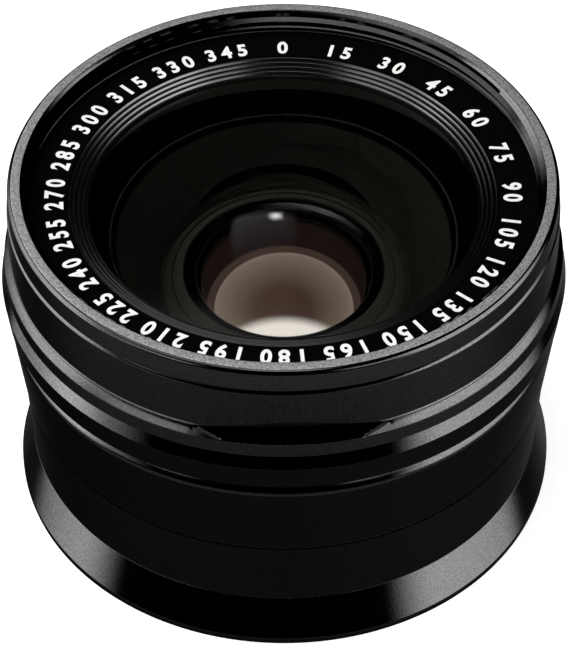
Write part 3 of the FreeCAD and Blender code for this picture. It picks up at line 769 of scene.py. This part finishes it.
def whiteRays(tree):
    # camera, glossy and transmission rays all see the white
    path = tree.nodes.new("ShaderNodeLightPath")
    first = addNode(tree, "ShaderNodeMath", operation="MAXIMUM")
    second = addNode(tree, "ShaderNodeMath", operation="MAXIMUM")
    tree.links.new(path.outputs["Is Camera Ray"], first.inputs[0])
    tree.links.new(path.outputs["Is Glossy Ray"], first.inputs[1])
    tree.links.new(first.outputs[0], second.inputs[0])
    tree.links.new(path.outputs["Is Transmission Ray"], second.inputs[1])
    return path, second.outputs[0]


def fillRamp(node, stops):
    # stops are (place, grey) or (place, colour), in rising order
    made = node.color_ramp.elements
    for k, (place, shade) in enumerate(stops):
        stop = made[k] if k < 2 else made.new(place)
        stop.position = place
        stop.color = (*shade, 1) if isinstance(shade, tuple) else (shade, shade, shade, 1)


def makeFloor(s):
    mat = bpy.data.materials.new("paleFloor")
    mat.use_nodes = True
    tree = mat.node_tree
    tree.nodes.clear()
    out = tree.nodes.new("ShaderNodeOutputMaterial")
    white = whiteRays(tree)[1]
    coords = objectCoords(tree)
    reach = addNode(tree, "ShaderNodeVectorMath", operation="DISTANCE")
    reach.inputs[1].default_value = s["paintedSpotCentre"]
    tree.links.new(coords, reach.inputs[0])
    share = addNode(tree, "ShaderNodeMath", operation="DIVIDE", use_clamp=True)
    share.inputs[1].default_value = s["paintedSpotReach"]
    tree.links.new(reach.outputs["Value"], share.inputs[0])
    # the spot's painted shade and painted light, by distance from its centre
    spot = tree.nodes.new("ShaderNodeValToRGB")
    fillRamp(spot, s["spot"])
    tree.links.new(share.outputs[0], spot.inputs["Fac"])
    # inside the spot the near side is painted brightest, a painted pool of light
    away = addNode(tree, "ShaderNodeVectorMath", operation="DISTANCE")
    away.inputs[1].default_value = s["paintedGlowCentre"]
    tree.links.new(coords, away.inputs[0])
    near = addNode(tree, "ShaderNodeMapRange", interpolation_type="SMOOTHSTEP")
    near.inputs["From Min"].default_value = s["paintedGlowFrom"]
    near.inputs["From Max"].default_value = s["paintedGlowTo"]
    tree.links.new(away.outputs["Value"], near.inputs["Value"])
    inside = addNode(tree, "ShaderNodeMath", operation="LESS_THAN")
    inside.inputs[1].default_value = s["spot"][3][0]
    tree.links.new(share.outputs[0], inside.inputs[0])
    lit = addNode(tree, "ShaderNodeMath", operation="MULTIPLY")
    tree.links.new(near.outputs[0], lit.inputs[0])
    tree.links.new(inside.outputs[0], lit.inputs[1])
    shade = tree.nodes.new("ShaderNodeMix")
    shade.data_type = "RGBA"
    tree.links.new(spot.outputs["Color"], shade.inputs["A"])
    shade.inputs["B"].default_value = (*s["glow"], 1)
    tree.links.new(lit.outputs[0], shade.inputs["Factor"])
    glow = tree.nodes.new("ShaderNodeEmission")
    tree.links.new(shade.outputs["Result"], glow.inputs["Color"])
    tree.links.new(white, glow.inputs["Strength"])
    # painted shade: the paper's own colour is black there, as if no room light reached it
    openFloor = addNode(tree, "ShaderNodeMath", operation="GREATER_THAN")
    openFloor.inputs[1].default_value = s["paintedShadeEdge"]
    tree.links.new(share.outputs[0], openFloor.inputs[0])
    paperPaintedShade = tree.nodes.new("ShaderNodeMix")
    paperPaintedShade.data_type = "RGBA"
    paperPaintedShade.inputs["A"].default_value = (0, 0, 0, 1)
    paperPaintedShade.inputs["B"].default_value = (*s["floorColour"], 1)
    tree.links.new(openFloor.outputs[0], paperPaintedShade.inputs["Factor"])
    paper = tree.nodes.new("ShaderNodeBsdfDiffuse")
    tree.links.new(paperPaintedShade.outputs["Result"], paper.inputs["Color"])
    both = tree.nodes.new("ShaderNodeAddShader")
    tree.links.new(glow.outputs[0], both.inputs[0])
    tree.links.new(paper.outputs[0], both.inputs[1])
    # seen from below, the floor is clear
    below = tree.nodes.new("ShaderNodeNewGeometry")
    clear = tree.nodes.new("ShaderNodeBsdfTransparent")
    side = tree.nodes.new("ShaderNodeMixShader")
    tree.links.new(below.outputs["Backfacing"], side.inputs["Fac"])
    tree.links.new(both.outputs[0], side.inputs[1])
    tree.links.new(clear.outputs[0], side.inputs[2])
    tree.links.new(side.outputs[0], out.inputs["Surface"])
    bm = bmesh.new()
    bmesh.ops.create_grid(bm, x_segments=1, y_segments=1, size=s["floorSize"] / 2)
    mesh = bpy.data.meshes.new("floor")
    bm.to_mesh(mesh)
    bm.free()
    mesh.materials.append(mat)
    floor = bpy.data.objects.new("floor", mesh)
    bpy.context.scene.collection.objects.link(floor)
    floor.visible_glossy = False     # in reflections the table is the world's lower part
    floor.visible_shadow = False


def makeWorld(s):
    world = bpy.data.worlds.new("studio")
    bpy.context.scene.world = world
    world.use_nodes = True
    tree = world.node_tree
    tree.nodes.clear()
    out = tree.nodes.new("ShaderNodeOutputWorld")
    path, white = whiteRays(tree)
    coords = tree.nodes.new("ShaderNodeTexCoord")
    split = tree.nodes.new("ShaderNodeSeparateXYZ")
    tree.links.new(coords.outputs["Generated"], split.inputs[0])
    # the lower part is the white table, dimmer close to the lens
    level = addNode(tree, "ShaderNodeMath", operation="ADD")
    level.inputs[1].default_value = 1.0
    tree.links.new(split.outputs["Z"], level.inputs[0])
    table = tree.nodes.new("ShaderNodeValToRGB")
    fillRamp(table, [(height + 1.0, share) for height, share in s["table"]])
    tree.links.new(level.outputs[0], table.inputs["Fac"])
    azimuth = addNode(tree, "ShaderNodeMath", operation="ARCTAN2")
    tree.links.new(split.outputs["Y"], azimuth.inputs[0])
    tree.links.new(split.outputs["X"], azimuth.inputs[1])
    turn = addNode(tree, "ShaderNodeMapRange")
    turn.inputs["From Min"].default_value = -math.pi
    turn.inputs["From Max"].default_value = math.pi
    tree.links.new(azimuth.outputs[0], turn.inputs["Value"])
    shaded = tree.nodes.new("ShaderNodeValToRGB")
    fillRamp(shaded, [((angle + 180) / 360, share) for angle, share in s["round"]])
    tree.links.new(turn.outputs[0], shaded.inputs["Fac"])
    both = addNode(tree, "ShaderNodeMath", operation="MULTIPLY")
    tree.links.new(table.outputs["Color"], both.inputs[0])
    tree.links.new(shaded.outputs["Color"], both.inputs[1])
    most = addNode(tree, "ShaderNodeMath", operation="MULTIPLY", use_clamp=True)
    most.inputs[1].default_value = s["tableMost"]
    tree.links.new(both.outputs[0], most.inputs[0])
    below = addNode(tree, "ShaderNodeMath", operation="MAXIMUM")
    tree.links.new(most.outputs[0], below.inputs[0])
    tree.links.new(path.outputs["Is Camera Ray"], below.inputs[1])
    seen = addNode(tree, "ShaderNodeMath", operation="MULTIPLY")
    tree.links.new(white, seen.inputs[0])
    tree.links.new(below.outputs[0], seen.inputs[1])
    colour = tree.nodes.new("ShaderNodeMix")
    colour.data_type = "RGBA"
    colour.inputs["A"].default_value = (s["room"], s["room"], s["room"], 1)
    colour.inputs["B"].default_value = (1, 1, 1, 1)
    tree.links.new(seen.outputs[0], colour.inputs["Factor"])
    back = addNode(tree, "ShaderNodeBackground", Strength=1.0)
    tree.links.new(colour.outputs["Result"], back.inputs["Color"])
    tree.links.new(back.outputs[0], out.inputs["Surface"])


cardAim = Vector((0, 0, 0.02))
cardSet = {
    "rightCard": {"azimuth": -14.0, "elevation": 3.0, "distance": 0.6, "wide": 0.96, "high": 0.92,
                  "strength": 15.0, "fadeX": 0.61, "fadeY": 0.12, "lights": False, "through": False},
    "leftCard": {"azimuth": 167.0, "elevation": 3.0, "distance": 0.6, "wide": 1.00, "high": 0.92,
                 "strength": 16.0, "fadeX": 0.66, "fadeY": 0.12, "lights": False, "through": False},
    "leftFill": {"azimuth": 220.0, "elevation": 10.0, "distance": 0.6, "wide": 0.52, "high": 0.36,
                 "strength": 7.0, "fadeX": 0.6, "fadeY": 0.5, "lights": False, "through": False},
    "rightFill": {"azimuth": -54.0, "elevation": 10.0, "distance": 0.6, "wide": 0.44, "high": 0.36,
                  "strength": 7.0, "fadeX": 0.6, "fadeY": 0.5, "lights": False, "through": False},
    # close to the lens, so that only its upper part reflects it
    "leftNear": {"azimuth": 197.0, "elevation": -12.5, "distance": 0.12, "wide": 0.130, "high": 0.036,
                 "strength": 6.0, "fadeX": 0.8, "fadeY": 0.3, "lights": False, "through": False},
    "topCard": {"azimuth": 180.0, "elevation": 70.0, "distance": 0.6, "wide": 0.80, "high": 0.80,
                "strength": 4.2, "fadeX": 0.4, "fadeY": 0.4, "lights": True, "through": True},
    "rampCard": {"azimuth": -90.0, "elevation": 70.0, "distance": 0.6, "wide": 0.22, "high": 0.14,
                 "strength": 9.0, "fadeX": 0.3, "fadeY": 0.3, "lights": False, "through": False},
    "backSpark": {"azimuth": 91.0, "elevation": 46.6, "distance": 0.6, "wide": 0.017, "high": 0.017,
                  "strength": 45.0, "fadeX": 1.0, "fadeY": 1.0, "lights": False, "through": True},
}


def spareGlass(card):
    # the glass doesn't mirror this card, which would make a white disc of it from the side
    group = bpy.data.collections.new(card.name + "Receivers")
    for name in lensSet:
        group.objects.link(bpy.data.objects[name])
    for item in group.collection_objects:
        item.light_linking.link_state = "EXCLUDE"
    card.light_linking.receiver_collection = group


def makeCard(name, s):
    # a lit panel with soft edges
    mat = bpy.data.materials.new(name)
    mat.use_nodes = True
    tree = mat.node_tree
    tree.nodes.clear()
    out = tree.nodes.new("ShaderNodeOutputMaterial")
    coords = tree.nodes.new("ShaderNodeTexCoord")
    split = tree.nodes.new("ShaderNodeSeparateXYZ")
    tree.links.new(coords.outputs["Object"], split.inputs[0])
    fades = []
    for axis, size, soft in (("X", s["wide"], s["fadeX"]), ("Y", s["high"], s["fadeY"])):
        away = addNode(tree, "ShaderNodeMath", operation="ABSOLUTE")
        tree.links.new(split.outputs[axis], away.inputs[0])
        fade = addNode(tree, "ShaderNodeMapRange", interpolation_type="SMOOTHSTEP")
        fade.inputs["From Min"].default_value = size / 2
        fade.inputs["From Max"].default_value = size / 2 * (1 - soft)
        tree.links.new(away.outputs[0], fade.inputs["Value"])
        fades.append(fade.outputs[0])
    level = addNode(tree, "ShaderNodeMath", operation="MULTIPLY")
    tree.links.new(fades[0], level.inputs[0])
    tree.links.new(fades[1], level.inputs[1])
    power = addNode(tree, "ShaderNodeMath", operation="MULTIPLY")
    power.inputs[1].default_value = s["strength"]
    tree.links.new(level.outputs[0], power.inputs[0])
    glow = addNode(tree, "ShaderNodeEmission", Color=(1, 1, 1, 1))
    tree.links.new(power.outputs[0], glow.inputs["Strength"])
    # clear apart from its light, so that it hides no other card
    clear = tree.nodes.new("ShaderNodeBsdfTransparent")
    both = tree.nodes.new("ShaderNodeAddShader")
    tree.links.new(glow.outputs[0], both.inputs[0])
    tree.links.new(clear.outputs[0], both.inputs[1])
    tree.links.new(both.outputs[0], out.inputs["Surface"])
    bm = bmesh.new()
    bmesh.ops.create_grid(bm, x_segments=1, y_segments=1, size=0.5)
    bmesh.ops.scale(bm, vec=(s["wide"], s["high"], 1), verts=bm.verts[:])
    mesh = bpy.data.meshes.new(name)
    bm.to_mesh(mesh)
    bm.free()
    mesh.materials.append(mat)
    card = bpy.data.objects.new(name, mesh)
    azimuth, elevation = math.radians(s["azimuth"]), math.radians(s["elevation"])
    towards = Vector((math.cos(azimuth) * math.cos(elevation), math.sin(azimuth) * math.cos(elevation),
                      math.sin(elevation)))
    turn = towards.to_track_quat("Z", "Y").to_matrix().to_4x4()
    card.matrix_world = Matrix.Translation(towards * s["distance"] + cardAim) @ turn
    bpy.context.scene.collection.objects.link(card)
    card.visible_camera = False
    card.visible_diffuse = s["lights"]
    card.visible_transmission = s["through"]
    card.visible_shadow = False
    if not s["through"]:
        spareGlass(card)


makeFloor(stageSet)
makeWorld(stageSet)
for name, s in cardSet.items():
    makeCard(name, s)
bpy.context.scene.view_settings.view_transform = "Standard"
print("stage lit")
